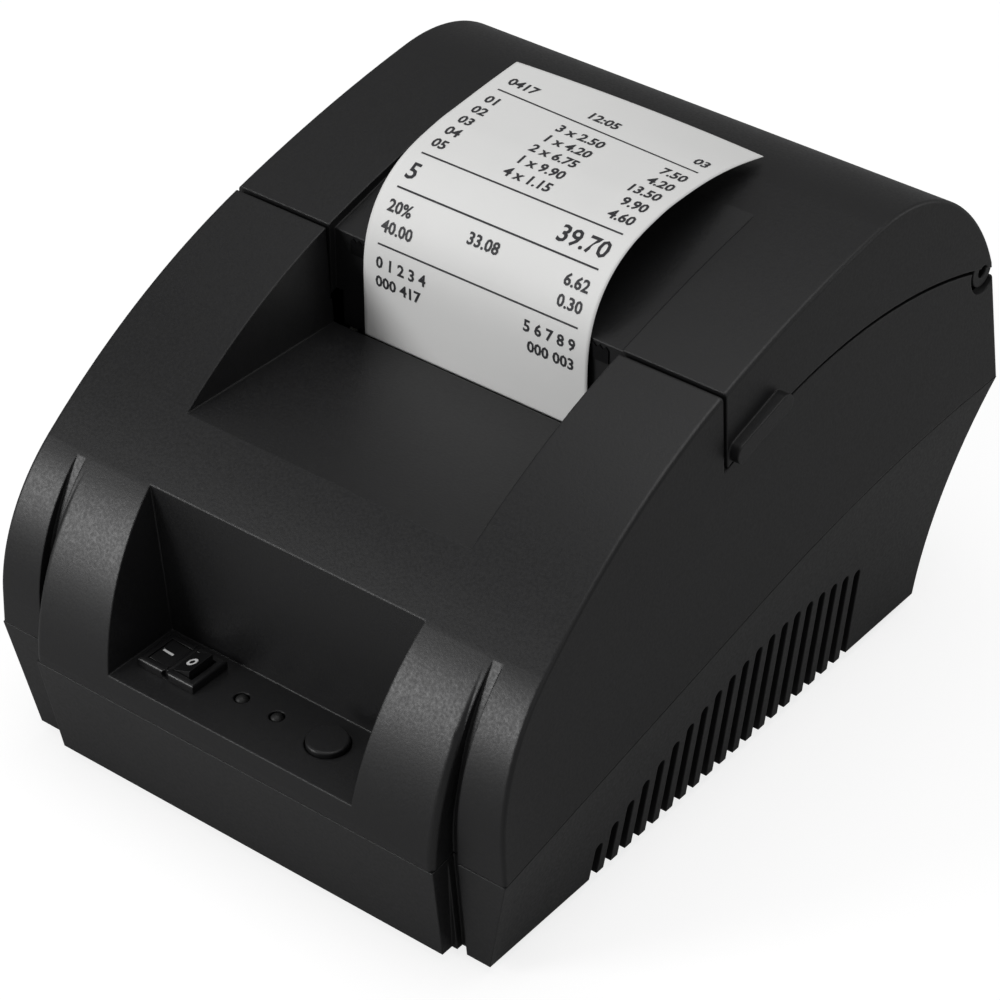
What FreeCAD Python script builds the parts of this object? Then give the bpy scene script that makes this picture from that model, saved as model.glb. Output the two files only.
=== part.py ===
import FreeCAD, Part
import math
import os

V = FreeCAD.Vector

# Receipt printer for 58 mm paper. Front is -Y, the viewer's right is +X, +Z is up.
# The origin is under the middle of the printer, on the surface it stands on. Millimetres.

# Outside form
half_depth = 89.5
side_foot = 68.0
side_draft = 0.059
wall = 2.2
edge_round = 0.8
foot_height = 2.5
pillar_y = 4.6 - half_depth
pillar_top_z = 36.0
brow_y = 19.5 - half_depth
brow_z = 68.5
lid_front_y = -11.2
lid_front_z = 100.0
crest_y = half_depth - 46.5
crest_z = 110.5
shoulder_y = half_depth - 17.5
shoulder_z = 102.0
rear_y = half_depth - 3.6
rear_z = 81.8
tail_z = 52.0

# Seam between the casing and the base
seam = 0.3
split_front_z = 27.5
split_slope = 0.19
split_bend_y = 0.0
split_level_y = half_depth - 14.5

# Base tray
base_half = 60.5
base_front_y = pillar_y + 2.7
base_rear_y = half_depth - 20.8
tongue_half = 52.3
tongue_foot_half = 51.0
tongue_foot_y = 4.3 - half_depth
tongue_round = 1.4
groove_width = 2.4
groove_depth = 1.9
vent_count = 20
vent_pitch = 4.73
vent_width = 2.5
vent_first_y = -49.0
vent_low_z = 0.8
vent_peak_y = 13.0
vent_peak_z = 30.5
vent_fall = 0.0048

# Control recess and paper ramp
recess_half = 32.0
recess_flare = 0.095
panel_z = 33.5
ramp_half = 36.3
ramp_flare = 0.048
ramp_rear_z = 76.8
ramp_slope = 0.0305
slot_front_y = lid_front_y - 0.8
ramp_inset = 8.0
ramp_overrun = 6.0

# Lid
lid_gap = 0.8
lid_front_gap = 1.2
lid_edge_front_z = 83.2
lid_edge_crest_y = crest_y - 5.0
lid_edge_crest_z = 90.6
lid_edge_rear_z = 80.6
channel_half = 37.4
channel_depth = 2.0
channel_end_y = crest_y - 9.0
lip_y = lid_front_y + 1.6
lip_half = 35.6
lip_low_z = 75.6
hinge_y = half_depth - 7.3
hinge_z = 81.2
barrel_r = 3.6
trough_r = 5.0
hinge_pin_r = 1.5
lug_x = 46.0
lug_width = 5.0
lug_gap = 0.4
tab_length = 19.0
tab_height = 4.8
tab_out = 2.4
tab_tilt = 15.0
tab_y = -1.6
tab_z = 87.9
bay_opening_half = 57.0
bay_opening_rear_y = half_depth - 13.5
bay_opening_z = 60.0
channel_end_drop = 1.0
lid_screw_x = 46.0
lid_screw_y = 4.0
lid_boss_r = 3.5
lid_hole_depth = 10.0
lid_screw_length = 9.0
liner_z = 84.0
liner_thick = 2.0
liner_top = liner_z + liner_thick
lug_height = 16.0
lug_lip = 2.4
lug_back_gap = 3.0
pin_reach = 5.0
tear_pitch = 1.5
tear_height = 3.0
tear_tooth = 0.8
tear_drop = 4.0
tear_thick = 0.3

# Paper
paper_width = 57.5
paper_thick = 0.2
roll_r = 0.5 * half_depth - 20.75
core_r = 6.5
core_wall = 1.5
roll_y = half_depth - 53.5
roll_z = 66.0
slot_paper_y = lid_front_y + 0.8
tear_z = 75.8
side_play = 1.2

# Print mechanism
platen_y = -1.2
platen_z = 68.5
platen_r = 5.0
platen_rubber_half = 29.4
shaft_r = 2.0
running_fit = 0.05
press_fit = 0.02
free_gap = 0.3
head_lean = 30.0
strip_thick = 1.2
sink_thick = 4.0
sink_half = 29.0
strip_half = 28.0
head_low = -10.0
head_high = 6.0
pivot_along = -12.0
pivot_pin_r = 1.5
spring_r = 2.4
spring_wire_r = 0.4
spring_length = 5.0
spring_x = 16.0
head_travel_gap = 1.2
frame_x = 36.0
frame_thick = 2.0
bush_r = 4.0
bush_spigot_r = 3.0
arm_x = 32.0
arm_thick = 3.0
frame_top_z = 72.0
frame_arch_z = 30.0
flange_y = (-20.0, 12.0)
flange_screw_x = frame_x + 6.0
flange_thick = 1.5
cheek_top_z = 76.0

# Gears
gear_module = 0.6
platen_teeth = 24
pinion_teeth = 14
wheel_teeth = 36
motor_teeth = 12
gear_backlash = 0.22
gear_play = 0.1
gear_x = 40.0
gear_width = 4.0
gear_step = 0.8
wheel_width = 3.0
motor_r = 8.5
motor_length = 16.0
motor_shaft_r = 1.0
axle_r = 1.5

# Rocker switch, feed button and lenses on the panel
rocker_x = -22.0
control_y = brow_y - 7.8
rocker_length = 15.0
rocker_width = 10.4
rocker_rim = 2.0
rocker_body_length = 13.0
rocker_body_width = 8.4
rocker_body_depth = 12.0
paddle_length = 11.0
paddle_width = 7.0
paddle_tilt = 8.0
paddle_taper = 0.9
paddle_end_z = 1.7
paddle_fold_z = 0.5
paddle_depth = 3.0
paddle_z = panel_z + 1.1
pocket_depth = 4.4
rocker_play = 0.2
trunnion_r = 0.9
blade_x = (-4.0, 4.0)
blade_length = 6.0
button_x = 16.5
button_r = 4.5
button_proud = 1.2
button_play = 0.3
button_travel = 0.6
button_clear = 3.9
tact_width = 6.0
tact_height = 2.4
tact_stem_r = 1.6
lens_x_first = -6.1
lens_x_second = 3.2
lens_r = 1.6
lens_play = 0.1
lens_sunk = 1.0
control_post_x = (-9.5, 8.2)
control_post_y = control_y + 4.5
control_post_r = 2.5
control_screw_r = 0.85
control_board_x = -12.0
control_board_z = 24.0
board_thick = 1.6
control_top = control_board_z + board_thick

# Main board and rear sockets
board_half = 0.5 * paper_width + side_play - 0.55
board_front_y = -30.0
board_rear_y = base_rear_y - 2.7
board_z = 10.0
socket_rear_y = base_rear_y + 1.3
socket_x = board_half - 8.4
socket_play = 0.4
socket_rim = 1.6
board_top = board_z + board_thick
floor_z = foot_height + wall
board_post_y = (board_front_y + 5.0, board_rear_y - 24.0)
board_post_x = board_half - 4.0
board_post_r = 3.0
board_screw_length = 5.0
# name, x, width, depth, height
sockets = (("power_inlet", -socket_x, 9.0, 14.0, 11.0), ("data_socket", 0.0, 12.0, 16.0, 11.0),
           ("drawer_socket", socket_x, 13.0, 17.0, 12.0))
plug_height = 3.0
lead_plug_height = 5.0
ribbon_z = 20.0
lead_r = 1.3
# x0, x1, y0, y1, height
chip_boxes = ((-8, 6, -6, 8, 1.6), (-22, -12, 18, 24, 1.4), (8, 20, 6, 14, 4.0),
              (-9, 9, -29, -25, plug_height), (-9, 9, -21, -17, plug_height), (20, 27, 0, 6, lead_plug_height))
# radius, x, y, height
capacitors = ((5.0, 16.0, 30.0, 12.0), (3.2, -18.0, -8.0, 8.0))

# Fasteners
screw_x = 52.0
screw_front_y = brow_y + 4.0
screw_rear_y = half_depth - 27.5
screw_r = 1.4
screw_head_r = 2.7
screw_head_h = 2.0
screw_land = 6.0
screw_hole_depth = 15.0
case_screw_length = 18.0
front_post_z = 70.0
rear_post_z = 74.0
boss_r = 4.0
foot_r = 6.0
foot_x = 47.0
foot_front_y = base_front_y + 10.2
foot_rear_y = half_depth - 34.5

reach = 160.0


def at(y, z, x=0.0):
    return V(x, y, z)


def line(p, q):
    return Part.LineSegment(at(*p), at(*q)).toShape()


def arc_to(p, heading, q):
    """Arc that leaves p at a heading in degrees and ends at q, with its end heading."""
    dy = q[0] - p[0]
    dz = q[1] - p[1]
    length = math.hypot(dy, dz)
    chord = math.atan2(dz, dy)
    bend = chord - math.radians(heading)
    bow = -0.5 * length * math.tan(0.5 * bend)
    via = (0.5 * (p[0] + q[0]) - bow * math.sin(chord), 0.5 * (p[1] + q[1]) + bow * math.cos(chord))
    edge = Part.Arc(at(*p), at(*via), at(*q)).toShape()
    return edge, math.degrees(2 * chord) - heading


def arc_chain(start, heading, ends):
    """Arcs that follow each other smoothly through the ends."""
    edges = []
    for end in ends:
        edge, heading = arc_to(start, heading, end)
        edges.append(edge)
        start = end
    return edges


def prism(edges, x0, x1):
    """Solid between two planes of constant x from a closed outline in (y, z)."""
    face = Part.Face(Part.Wire(edges))
    face.translate(V(x0, 0, 0))
    return face.extrude(V(x1 - x0, 0, 0))


def plate(points, x0, x1):
    loop = [at(y, z, x0) for y, z in points]
    loop.append(loop[0])
    return Part.Face(Part.makePolygon(loop)).extrude(V(x1 - x0, 0, 0))


def trapezoid(half, flare, z_ref, y0, y1, z0, z1):
    """Block between y0 and y1 whose half width is half at z_ref and grows by flare per mm of height."""
    low = half + flare * (z0 - z_ref)
    high = half + flare * (z1 - z_ref)
    loop = [V(-low, y0, z0), V(low, y0, z0), V(high, y0, z1), V(-high, y0, z1), V(-low, y0, z0)]
    return Part.Face(Part.makePolygon(loop)).extrude(V(0, y1 - y0, 0))


def box(x0, x1, y0, y1, z0, z1):
    return Part.makeBox(x1 - x0, y1 - y0, z1 - z0, V(x0, y0, z0))


def middle_box(x, y, width, depth, z0, z1):
    return box(x - 0.5 * width, x + 0.5 * width, y - 0.5 * depth, y + 0.5 * depth, z0, z1)


def rod_x(r, x0, x1, y, z):
    return Part.makeCylinder(r, x1 - x0, V(x0, y, z), V(1, 0, 0))


def rod_z(r, x, y, z0, z1):
    return Part.makeCylinder(r, z1 - z0, V(x, y, z0), V(0, 0, 1))


def both_sides(shape):
    return [shape, shape.mirror(V(0, 0, 0), V(1, 0, 0))]


def fuse(shapes):
    return shapes[0].multiFuse(shapes[1:]).removeSplitter()


def group(shapes):
    return Part.makeCompound(shapes)


def save(name, shape):
    shape.exportStep("parts/" + name + ".step")
    print(name, len(shape.Solids), "solids", round(shape.Volume), "mm3")


os.makedirs("parts", exist_ok=True)


# Outline of the whole body in side view, and the solids cut from it

def split_z(y):
    if y < split_bend_y:
        return split_front_z + split_slope * (y + half_depth)
    bend_z = split_front_z + split_slope * (split_bend_y + half_depth)
    if y > split_level_y:
        return tail_z
    share = (y - split_bend_y) / (split_level_y - split_bend_y)
    return bend_z + (tail_z - bend_z) * (1 - (1 - share) ** 2)


def side_half(z):
    return side_foot - side_draft * z


def body_outline(low_z):
    front_low = (pillar_y, low_z)
    front = (pillar_y, pillar_top_z)
    ends = [(brow_y, brow_z), (lid_front_y, lid_front_z), (crest_y, crest_z)]
    ends += [(shoulder_y, shoulder_z), (rear_y, rear_z)]
    arcs = arc_chain(front, 90.0, ends)
    rear_low = (half_depth, low_z)
    tail = (half_depth, tail_z)
    edges = [line(front_low, front)] + arcs
    edges += [line((rear_y, rear_z), tail), line(tail, rear_low), line(rear_low, front_low)]
    return edges


def draft_block(inset):
    return trapezoid(side_foot - inset, -side_draft, 0.0, -reach, reach, -20.0, reach)


def round_side_edges(solid, low_z):
    edges = []
    for edge in solid.Edges:
        on_side = all(abs(abs(v.X) - side_half(v.Z)) < 0.01 for v in edge.Vertexes)
        middle = edge.CenterOfMass
        if on_side and middle.z > low_z and middle.y < half_depth - 0.1:
            edges.append(edge)
    return solid.makeFillet(edge_round, edges)


def lid_zone(front_shift, drop):
    """Space above the lid's lower edge, moved forward by front_shift and down by drop."""
    front = (lid_front_y - front_shift, lid_edge_front_z - drop)
    crest = (lid_edge_crest_y, lid_edge_crest_z - drop)
    rear = (rear_y, lid_edge_rear_z - drop)
    edge = Part.Arc(at(*front), at(*crest), at(*rear)).toShape()
    beyond = (reach, rear[1])
    top = (reach, reach)
    front_top = (front[0], reach)
    edges = [edge, line(rear, beyond), line(beyond, top), line(top, front_top), line(front_top, front)]
    return prism(edges, -reach, reach)


def below_split(drop):
    front = (-reach, split_z(-reach) - drop)
    bend = (split_bend_y, split_z(split_bend_y) - drop)
    level = (split_level_y, tail_z - drop)
    end = (reach, tail_z - drop)
    curve = arc_to(bend, math.degrees(math.atan(split_slope)), level)[0]
    low_end = (reach, -reach)
    low_front = (-reach, -reach)
    edges = [line(front, bend), curve, line(level, end), line(end, low_end)]
    edges += [line(low_end, low_front), line(low_front, front)]
    return prism(edges, -reach, reach)


outline = body_outline(0.0)
body = prism(outline, -reach, reach).common(draft_block(0.0))
body = round_side_edges(body, 0.5 * split_front_z)
inner_face = Part.Face(Part.Wire(body_outline(-reach))).makeOffset2D(-wall, 2)
inner_face.translate(V(-reach, 0, 0))
body_inside = inner_face.extrude(V(2 * reach, 0, 0)).common(draft_block(wall))


def tongue_solid():
    """Raised middle of the front, which runs out into the brow."""
    low = (-half_depth, 0.0)
    start = (-half_depth, split_front_z + 2.0)
    curve = arc_to(start, 86.0, (brow_y, brow_z))[0]
    back = (brow_y, 0.0)
    solid = prism([line(low, start), curve, line((brow_y, brow_z), back), line(back, low)],
                  -tongue_half, tongue_half)
    edges = []
    for edge in solid.Edges:
        middle = edge.CenterOfMass
        on_flank = all(abs(abs(v.X) - tongue_half) < 0.01 for v in edge.Vertexes)
        if on_flank and abs(middle.x) > 1 and middle.y < brow_y - 1 and middle.z > 1:
            edges.append(edge)
    return solid.makeFillet(tongue_round, edges)


def groove_solids():
    """Narrow channels between the tongue and the outer pillars."""
    low = (base_front_y + groove_depth, 0.0)
    knee = (pillar_y + groove_depth, split_front_z)
    curve = arc_to(knee, 95.0, (brow_y - 0.2, brow_z))[0]
    edges = [line(low, knee), curve, line((brow_y - 0.2, brow_z), (-reach, brow_z))]
    edges += [line((-reach, brow_z), (-reach, 0.0)), line((-reach, 0.0), low)]
    return both_sides(prism(edges, tongue_half, tongue_half + groove_width))


tongue = tongue_solid()
grooves = groove_solids()


# Mechanism layout, in (y, z): the platen, the slanted print head and the gear centres

lean = math.radians(head_lean)
normal = (math.cos(lean), math.sin(lean))
tangent = (-math.sin(lean), math.cos(lean))
web_inner = platen_r + free_gap
head_face = web_inner + paper_thick + free_gap
sink_face = head_face + strip_thick
sink_back = sink_face + sink_thick
spring_seat = sink_back + head_travel_gap + spring_length


def from_platen(away, along):
    """Point at a distance from the platen's centre towards the head, and along the head."""
    y = platen_y - away * normal[0] + along * tangent[0]
    z = platen_z - away * normal[1] + along * tangent[1]
    return (y, z)


pivot = from_platen(0.5 * (sink_face + sink_back), pivot_along)
platen_gear_r = 0.5 * gear_module * platen_teeth
pinion_r = 0.5 * gear_module * pinion_teeth
wheel_r = 0.5 * gear_module * wheel_teeth
motor_gear_r = 0.5 * gear_module * motor_teeth
pinion_angle = math.radians(-82.0)
pinion_span = platen_gear_r + pinion_r + gear_play
wheel_y = platen_y + pinion_span * math.cos(pinion_angle)
wheel_z = platen_z + pinion_span * math.sin(pinion_angle)
motor_angle = math.radians(-68.0)
motor_span = wheel_r + motor_gear_r + gear_play
motor_y = wheel_y + motor_span * math.cos(motor_angle)
motor_z = wheel_z + motor_span * math.sin(motor_angle)
wheel_x = gear_x + gear_width + gear_step


# Upper casing

def casing_posts():
    posts = []
    for y in (screw_front_y, screw_rear_y):
        top = front_post_z if y < 0 else rear_post_z
        block = box(screw_x - boss_r, reach, y - boss_r, y + boss_r, split_z(y), top)
        posts += both_sides(block.common(body))
    return posts


def upper_casing():
    shell = body.cut(lid_zone(lid_front_gap, lid_gap))
    shell = shell.fuse(tongue)
    cavity = body_inside.cut(lid_zone(lid_front_gap + wall, lid_gap + wall))
    hollow_half = tongue_half - wall
    tongue_hollow = box(-hollow_half, hollow_half, -half_depth + wall, brow_y, 0.0, panel_z - wall)
    solid_form = shell
    shell = shell.cut(cavity).cut(tongue_hollow)
    ramp_tub = trapezoid(ramp_half + wall, ramp_flare, ramp_rear_z, brow_y + ramp_inset, slot_front_y,
                         ramp_rear_z - wall, reach)
    recess_tub = trapezoid(recess_half + wall, recess_flare, panel_z, -reach, brow_y + wall,
                           panel_z - wall, reach)
    posts = casing_posts()
    control_posts = [rod_z(control_post_r, x, control_post_y, control_top, panel_z) for x in control_post_x]
    lug_near = lug_x - 0.5 * lug_width
    lug_far = lug_x + 0.5 * lug_width
    lug = box(lug_near, lug_far, hinge_y - barrel_r, half_depth - lug_back_gap, hinge_z - lug_height, hinge_z)
    lug_room = box(0, reach, 0, hinge_y + lug_lip, 0, reach)
    lug_room = lug_room.fuse(box(0, reach, 0, half_depth, 0, hinge_z - trough_r))
    lug = lug.common(lug_room)
    shell = fuse([shell, ramp_tub.common(solid_form), recess_tub.common(solid_form)] + posts)
    shell = fuse([shell.cut(below_split(0.0))] + control_posts)
    recess = trapezoid(recess_half, recess_flare, panel_z, -reach, brow_y, panel_z, reach)
    ramp_end_y = lid_front_y + ramp_overrun
    ramp_front_z = ramp_rear_z - ramp_slope * (-reach - slot_front_y)
    above_ramp = plate([(-reach, ramp_front_z), (ramp_end_y, ramp_rear_z), (ramp_end_y, reach),
                        (-reach, reach)], -reach, reach)
    ramp = trapezoid(ramp_half, ramp_flare, ramp_rear_z, -reach, ramp_end_y, ramp_rear_z - 5, reach)
    opening = box(-bay_opening_half, bay_opening_half, slot_front_y, bay_opening_rear_y, bay_opening_z, reach)
    trough = rod_x(trough_r, -reach, reach, hinge_y, hinge_z)
    shell = shell.cut(recess).cut(ramp.common(above_ramp)).cut(opening).cut(trough)
    for groove in grooves:
        shell = shell.cut(groove)
    lug_eye = rod_x(barrel_r, lug_near, lug_far, hinge_y, hinge_z)
    shell = fuse([shell] + both_sides(fuse([lug, lug_eye])))
    shell = shell.cut(rod_x(hinge_pin_r + press_fit, -reach, reach, hinge_y, hinge_z))
    rocker_hole = middle_box(rocker_x, control_y, rocker_body_length + 2 * rocker_play,
                             rocker_body_width + 2 * rocker_play, 0, panel_z + 1)
    button_hole = rod_z(button_r + button_play, button_x, control_y, 0, panel_z + 1)
    shell = shell.cut(rocker_hole).cut(button_hole)
    for x in (lens_x_first, lens_x_second):
        shell = shell.cut(rod_z(lens_r + lens_play, x, control_y, control_board_z, panel_z + 1))
    for x in control_post_x:
        shell = shell.cut(rod_z(control_screw_r + running_fit, x, control_post_y, 0, panel_z - wall))
    for y in (screw_front_y, screw_rear_y):
        for side in (-1, 1):
            low = split_z(y) - 1
            shell = shell.cut(rod_z(screw_r + running_fit, side * screw_x, y, low, low + screw_hole_depth))
    return shell.removeSplitter()


save("upper_casing", upper_casing())


# Base tray

def base_block(inset):
    """Tapered tub: at every station the sides run from the foot line to the casing's side at the seam."""
    sections = []
    top = tail_z + 8.0
    beyond = half_depth + 5.5
    for y in (-beyond, -60.0, -30.0, 0.0, 30.0, 60.0, beyond):
        seam_z = split_z(y)
        lean_out = (side_half(seam_z) - base_half) / (seam_z - foot_height)
        low = base_half - inset - lean_out * foot_height
        high = base_half - inset + lean_out * (top - foot_height)
        loop = [V(-low, y, 0), V(low, y, 0), V(high, y, top), V(-high, y, top), V(-low, y, 0)]
        sections.append(Part.makePolygon(loop))
    return Part.makeLoft(sections, True, False)


def base_outline(top):
    foot_front = (base_front_y, foot_height)
    seam_front = (pillar_y, split_z(pillar_y))
    tail = (half_depth, tail_z)
    foot_rear = (base_rear_y, foot_height)
    curve = arc_to(foot_rear, 88.0, tail)[0]
    front_top = (pillar_y, top)
    rear_top = (half_depth, top)
    edges = [line(foot_rear, foot_front), line(foot_front, seam_front), line(seam_front, front_top)]
    edges += [line(front_top, rear_top), line(rear_top, tail), curve]
    return edges


def stadium(y, z0, z1, width):
    half = 0.5 * width
    low = Part.Arc(at(y + half, z0 + half), at(y, z0), at(y - half, z0 + half)).toShape()
    high = Part.Arc(at(y - half, z1 - half), at(y, z1), at(y + half, z1 - half)).toShape()
    near = line((y - half, z0 + half), (y - half, z1 - half))
    far = line((y + half, z1 - half), (y + half, z0 + half))
    return [low, near, high, far]


def base_tray():
    outer = base_block(0.0).common(prism(base_outline(tail_z + 5.0), -reach, reach))
    front = plate([(tongue_foot_y, foot_height), (-half_depth, split_front_z), (-half_depth, tail_z),
                   (pillar_y + 6, tail_z), (pillar_y + 6, foot_height)], -reach, reach)
    flare = (tongue_half - tongue_foot_half) / (split_front_z - foot_height)
    front = front.common(trapezoid(tongue_foot_half, flare, foot_height, -reach, 0, 0, reach))
    outer = outer.fuse(front)
    inner_face = Part.Face(Part.Wire(base_outline(reach))).makeOffset2D(-wall, 2)
    inner_face.translate(V(-reach, 0, 0))
    inside = base_block(wall).common(inner_face.extrude(V(2 * reach, 0, 0)))
    inside_half = tongue_foot_half - wall
    front_inside = box(-inside_half, inside_half, tongue_foot_y + wall, pillar_y + 8, floor_z, reach)
    tray = outer.cut(inside).cut(front_inside).cut(above_seam)
    for groove in grooves:
        tray = tray.cut(groove)
    bosses = []
    for y in (screw_front_y, screw_rear_y):
        bosses += both_sides(rod_z(boss_r, screw_x, y, foot_height, split_z(y)))
    for y in board_post_y:
        bosses += both_sides(rod_z(board_post_r, board_post_x, y, foot_height, board_z))
    tray = fuse([tray] + bosses)
    for y in (screw_front_y, screw_rear_y):
        for side in (-1, 1):
            tray = tray.cut(rod_z(screw_r + free_gap, side * screw_x, y, 0, reach))
            tray = tray.cut(rod_z(screw_head_r + socket_play, side * screw_x, y, 0, split_z(y) - screw_land))
    for y in board_post_y:
        for side in (-1, 1):
            tray = tray.cut(rod_z(screw_r + press_fit, side * board_post_x, y, floor_z, board_z + 1))
    for y in flange_y:
        for side in (-1, 1):
            low = foot_height + 0.4
            tray = tray.cut(rod_z(screw_r + press_fit, side * flange_screw_x, y, low, floor_z + 1))
    for index in range(vent_count):
        y = vent_first_y + index * vent_pitch
        top = vent_peak_z - vent_fall * (y - vent_peak_y) ** 2
        slot = prism(stadium(y, vent_low_z, top, vent_width), base_half - 6.0, reach)
        for side in both_sides(slot):
            tray = tray.cut(side)
    for name, x, width, depth, height in sockets:
        half = 0.5 * width + socket_play
        hole = box(x - half, x + half, board_rear_y + 1, reach, board_top - socket_play,
                   board_top + height + socket_play)
        tray = tray.cut(hole)
    return tray.removeSplitter()


above_seam = box(-reach, reach, -reach, reach, -reach, reach).cut(below_split(seam))
save("base_tray", base_tray())


# Lid with its finger tabs and hinge barrel

def lid_shell():
    shell = body.common(lid_zone(0.0, 0.0))
    hollow = body_inside.common(box(-reach, reach, lid_front_y + wall, reach, -reach, reach))
    shell = shell.cut(hollow)
    roof_front = lid_front_z - channel_depth
    end_z = crest_z - channel_end_drop
    above_z = crest_z + 3.0
    floor = plate([(-reach, roof_front), (lid_front_y, roof_front), (channel_end_y, end_z),
                   (channel_end_y, above_z), (-reach, above_z)], -channel_half, channel_half)
    tub = plate([(lip_y, roof_front - wall), (channel_end_y, end_z - wall), (channel_end_y, above_z),
                 (lip_y, above_z)], -channel_half - wall, channel_half + wall)
    lip = box(-lip_half, lip_half, lip_y, lip_y + wall, lip_low_z, roof_front)
    mouth = box(-channel_half, channel_half, -reach, lip_y, 0, reach)
    solid_form = body.common(lid_zone(0.0, 0.0))
    shell = fuse([shell, tub.common(solid_form)]).cut(floor).cut(mouth)
    tab_form = stadium(0.0, -0.5 * tab_length, 0.5 * tab_length, tab_height)
    tab = prism(tab_form, lid_side - wall, lid_side + tab_out)
    tab.rotate(V(0, 0, 0), V(1, 0, 0), tab_tilt - 90.0)
    tab.translate(V(0, tab_y, tab_z))
    tab = tab.common(lid_zone(0.0, 0.0))
    barrel_half = side_half(hinge_z) - lug_gap
    barrel = rod_x(barrel_r, -barrel_half, barrel_half, hinge_y, hinge_z)
    bosses = both_sides(rod_z(lid_boss_r, lid_screw_x, lid_screw_y, liner_top, crest_z))
    shell = fuse([shell, lip, barrel] + both_sides(tab) + [boss.common(body) for boss in bosses])
    gap = 0.5 * lug_width + lug_gap
    for side in both_sides(rod_x(trough_r, lug_x - gap, lug_x + gap, hinge_y, hinge_z)):
        shell = shell.cut(side)
    shell = shell.cut(rod_x(hinge_pin_r + running_fit, -reach, reach, hinge_y, hinge_z))
    for side in (-1, 1):
        hole = rod_z(screw_r + running_fit, side * lid_screw_x, lid_screw_y, 0, liner_top + lid_hole_depth)
        shell = shell.cut(hole)
    return shell.removeSplitter()


lid_side = side_half(tab_z)
save("lid_shell", lid_shell())


def lid_inner_frame():
    """Bridge under the lid's roof with two arms that carry the platen."""
    half = lid_screw_x + 5.0
    bridge = box(-half, half, lip_y + wall + free_gap, lid_screw_y + 6.0, liner_z, liner_top)
    arm = plate([(platen_y - 5.0, platen_z), (platen_y - 5.0, liner_z), (platen_y + 9.0, liner_z),
                 (platen_y + 5.0, platen_z)], arm_x, arm_x + arm_thick)
    eye = rod_x(5.0, arm_x, arm_x + arm_thick, platen_y, platen_z)
    bore = rod_x(bush_spigot_r + press_fit, arm_x - 1, arm_x + arm_thick + 1, platen_y, platen_z)
    frame = fuse([bridge] + both_sides(fuse([arm, eye])))
    for side in both_sides(bore):
        frame = frame.cut(side)
    for side in (-1, 1):
        frame = frame.cut(rod_z(screw_r + free_gap, side * lid_screw_x, lid_screw_y, 0, reach))
    return frame


save("lid_inner_frame", lid_inner_frame())

pin_half = 0.5 * lug_width + pin_reach
hinge_pin = rod_x(hinge_pin_r, lug_x - pin_half, lug_x + pin_half, hinge_y, hinge_z)
save("hinge_pins", group(both_sides(hinge_pin)))


def tear_bar():
    """Thin steel strip on the lip with a row of fine teeth along its upper edge."""
    count = int(2 * (lip_half - 2.0) / tear_pitch)
    half = 0.5 * count * tear_pitch
    base = lid_front_z - channel_depth - tear_drop
    root = base + tear_height
    points = [V(-half, lip_y, base)]
    for index in range(count):
        x = index * tear_pitch - half
        points += [V(x, lip_y, root), V(x + 0.5 * tear_pitch, lip_y, root + tear_tooth)]
    points += [V(half, lip_y, root), V(half, lip_y, base), points[0]]
    return Part.Face(Part.makePolygon(points)).extrude(V(0, -tear_thick, 0))


save("tear_bar", tear_bar())


# Fasteners

def screw_up(x, y, z, length):
    """Screw driven upward: its head's underside rests at z."""
    return fuse([rod_z(screw_head_r, x, y, z - screw_head_h, z), rod_z(screw_r, x, y, z - 0.1, z + length)])


def screw_down(x, y, z, length):
    return fuse([rod_z(screw_head_r, x, y, z, z + screw_head_h), rod_z(screw_r, x, y, z - length, z + 0.1)])


case_screws = []
for y in (screw_front_y, screw_rear_y):
    for side in (-1, 1):
        case_screws.append(screw_up(side * screw_x, y, split_z(y) - screw_land, case_screw_length))
save("case_screws", group(case_screws))
lid_screws = [screw_up(side * lid_screw_x, lid_screw_y, liner_z, lid_screw_length) for side in (-1, 1)]
save("lid_screws", group(lid_screws))

feet = []
for y in (foot_front_y, foot_rear_y):
    for side in (-1, 1):
        feet.append(rod_z(foot_r, side * foot_x, y, 0, foot_height))
save("rubber_feet", group(feet))


# Platen and gears

def gear(teeth, width, x, y, z, angle):
    """Involute spur gear about an X axis, with a tooth centred at an angle in the (y, z) plane."""
    pitch_r = 0.5 * gear_module * teeth
    base_r = pitch_r * math.cos(math.radians(20))
    tip_r = pitch_r + 0.9 * gear_module
    root_r = pitch_r - 1.2 * gear_module
    involute = math.tan(math.radians(20)) - math.radians(20)
    half_pitch = math.pi / (2 * teeth) - 0.5 * gear_backlash / pitch_r
    flank = []
    for step in range(5):
        radius = max(base_r, root_r) + (tip_r - max(base_r, root_r)) * step / 4
        pressure = math.acos(min(1.0, base_r / radius))
        flank.append((radius, half_pitch + involute - (math.tan(pressure) - pressure)))
    flank.insert(0, (root_r, flank[0][1]))
    points = []
    for tooth in range(teeth):
        middle = angle + 2 * math.pi * tooth / teeth
        for radius, half in flank:
            points.append(at(y + radius * math.cos(middle - half), z + radius * math.sin(middle - half), x))
        for radius, half in reversed(flank):
            points.append(at(y + radius * math.cos(middle + half), z + radius * math.sin(middle + half), x))
    points.append(points[0])
    return Part.Face(Part.makePolygon(points)).extrude(V(width, 0, 0))


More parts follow.
